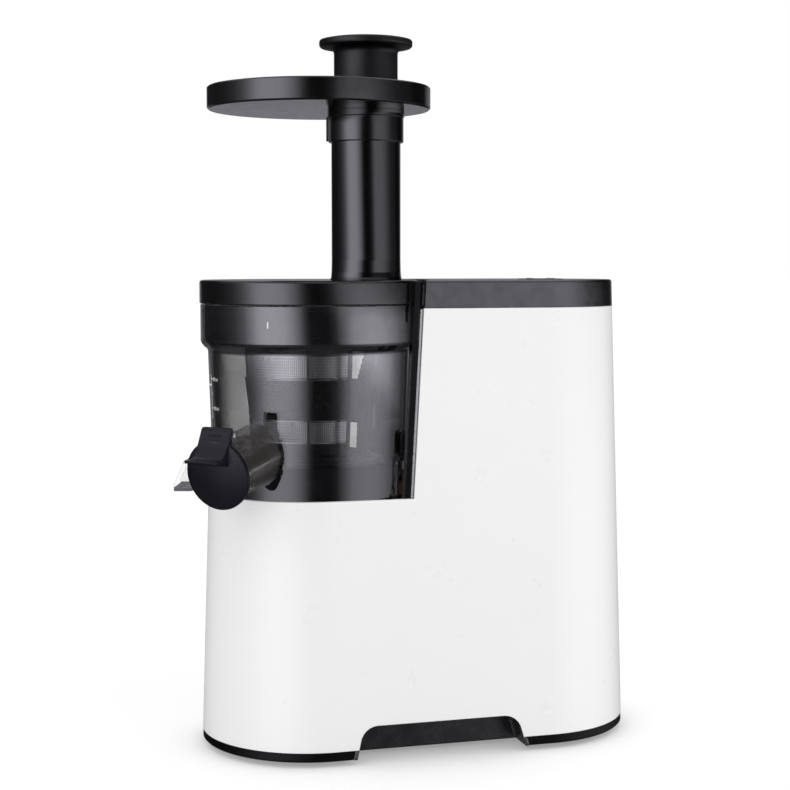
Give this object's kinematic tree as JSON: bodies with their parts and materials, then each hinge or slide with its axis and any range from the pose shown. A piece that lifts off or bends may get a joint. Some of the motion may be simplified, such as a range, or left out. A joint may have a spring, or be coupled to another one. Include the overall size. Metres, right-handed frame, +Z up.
{
  "type": "slow juicer",
  "caption": "Vertical slow juicer with a lift-off smoked bowl, auger and strainer, feed tube with tray and pusher, and a motor tower behind.",
  "frame": {"origin": "centre of the object's footprint box, on the surface it stands on", "axes": "+Z up; -X is the front, with the juice spout and pulp outlet; +X is the motor tower's round back; -Y is the side that the juice spout points toward"},
  "size_m": [0.3258, 0.1765, 0.4794],
  "materials": {
    "white_abs": "satin gloss white moulded housing",
    "black_gloss": "polished black moulded plastic",
    "black_satin": "black moulded plastic, fine texture",
    "trim_grey": "grey trim",
    "smoked_clear": "smoked transparent plastic, polished",
    "strainer_plastic": "dark grey strainer frame",
    "steel_mesh": "etched stainless sieve",
    "steel": "machined steel",
    "rubber_black": "soft black rubber",
    "silicone_grey": "translucent grey silicone",
    "case_grey": "die-cast gearbox and motor brackets",
    "bronze": "sintered bronze bush",
    "gear_nylon": "natural nylon gear",
    "gear_steel": "sintered steel gear",
    "laminations": "stacked electrical steel",
    "copper": "enamelled copper winding",
    "pcb_green": "circuit board",
    "bush_white": "acetal bush"
  },
  "bodies": {
    "base": {"outer_shell": "white_abs", "top_cover": "black_gloss", "bowl_cradle": "black_gloss", "cradle_trim": "trim_grey", "base_plate": "black_satin", "grip_liners": "black_gloss", "feet": "rubber_black", "base_screws": "steel", "gearbox_case": "case_grey", "gearbox_cover": "case_grey", "gearbox_screws": "steel", "output_bushes": "bronze", "mid_pin": "steel", "shaft_seal": "silicone_grey", "motor_stator": "laminations", "motor_windings": "copper", "motor_brackets": "case_grey", "motor_bearings": "steel", "motor_screws": "steel", "control_board": "pcb_green", "board_parts": "black_satin", "switch_body": "black_satin", "cord_gland": "rubber_black"},
    "drive": {"output_gear": "gear_steel", "drive_shaft": "steel"},
    "mid": {"mid_gear": "gear_nylon"},
    "rotor": {"rotor_core": "laminations", "motor_shaft": "steel", "motor_pinion": "gear_steel", "motor_fan": "black_satin"},
    "rocker": {"switch_rocker": "black_gloss"},
    "bowl": {"juice_bowl": "smoked_clear", "hub_seal": "silicone_grey", "pulp_plug": "silicone_grey", "strainer_frame": "strainer_plastic", "strainer_mesh": "steel_mesh", "idler_pin": "steel", "cap_pin": "steel"},
    "auger": {"auger_screw": "strainer_plastic", "auger_gear": "black_satin", "auger_insert": "steel", "auger_tip": "steel"},
    "idler": {"idler_gear": "gear_nylon"},
    "brush": {"brush_frame": "strainer_plastic", "brush_blades": "silicone_grey"},
    "spout_cap": {"juice_cap": "black_gloss", "cap_seal": "silicone_grey"},
    "seal_ring": {"lid_seal": "silicone_grey"},
    "lid": {"feed_lid": "black_gloss", "feed_tube": "black_gloss", "lid_bush": "bush_white"},
    "tray": {"food_tray": "black_gloss"},
    "pusher": {"food_pusher": "black_satin"}
  },
  "joints": [
    {"name": "drive_spin", "type": "hinge", "parent": "base", "child": "drive", "pos_m": [-0.06347, 0.01285, 0.1], "axis": [0, 0, 1], "continuous": true},
    {"name": "mid_spin", "type": "hinge", "parent": "base", "child": "mid", "pos_m": [0.01003, 0.01285, 0.06], "axis": [0, 0, 1], "continuous": true},
    {"name": "rotor_spin", "type": "hinge", "parent": "base", "child": "rotor", "pos_m": [0.05378, 0.01285, 0.14], "axis": [0, 0, 1], "continuous": true},
    {"name": "rocker_tilt", "type": "hinge", "parent": "base", "child": "rocker", "pos_m": [0.10453, 0.01285, 0.3098], "axis": [0, 1, 0], "range_deg": [-7, 7]},
    {"name": "bowl_lift", "type": "slide", "parent": "base", "child": "bowl", "axis": [0, 0, 1], "range_m": [0, 0.07]},
    {"name": "auger_spin", "type": "hinge", "parent": "bowl", "child": "auger", "pos_m": [-0.06347, 0.01285, 0.23], "axis": [0, 0, 1], "continuous": true},
    {"name": "idler_spin", "type": "hinge", "parent": "bowl", "child": "idler", "pos_m": [-0.03647, 0.01285, 0.196], "axis": [0, 0, 1], "continuous": true},
    {"name": "brush_spin", "type": "hinge", "parent": "bowl", "child": "brush", "pos_m": [-0.06347, 0.01285, 0.23], "axis": [0, 0, 1], "continuous": true},
    {"name": "cap_swing", "type": "hinge", "parent": "bowl", "child": "spout_cap", "pos_m": [-0.13529, -0.06017, 0.21992], "axis": [-0.7193, 0.6947, 0], "range_deg": [0, 58]},
    {"name": "lid_lift", "type": "slide", "parent": "bowl", "child": "seal_ring", "axis": [0, 0, 1], "range_m": [0, 0.08]},
    {"name": "lid_twist", "type": "hinge", "parent": "seal_ring", "child": "lid", "pos_m": [-0.06347, 0.01285, 0.31], "axis": [0, 0, 1], "range_deg": [0, 18]},
    {"name": "tray_lift", "type": "slide", "parent": "lid", "child": "tray", "axis": [0, 0, 1], "range_m": [0, 0.02]},
    {"name": "pusher_slide", "type": "slide", "parent": "lid", "child": "pusher", "axis": [0, 0, 1], "range_m": [0, 0.1]}
  ],
  "couplings": [
    {"joint": "mid_spin", "follows": "drive_spin", "ratio": -3.6667},
    {"joint": "rotor_spin", "follows": "drive_spin", "ratio": 14.667},
    {"joint": "auger_spin", "follows": "drive_spin", "ratio": 1},
    {"joint": "idler_spin", "follows": "drive_spin", "ratio": -2},
    {"joint": "brush_spin", "follows": "drive_spin", "ratio": -0.5}
  ]
}
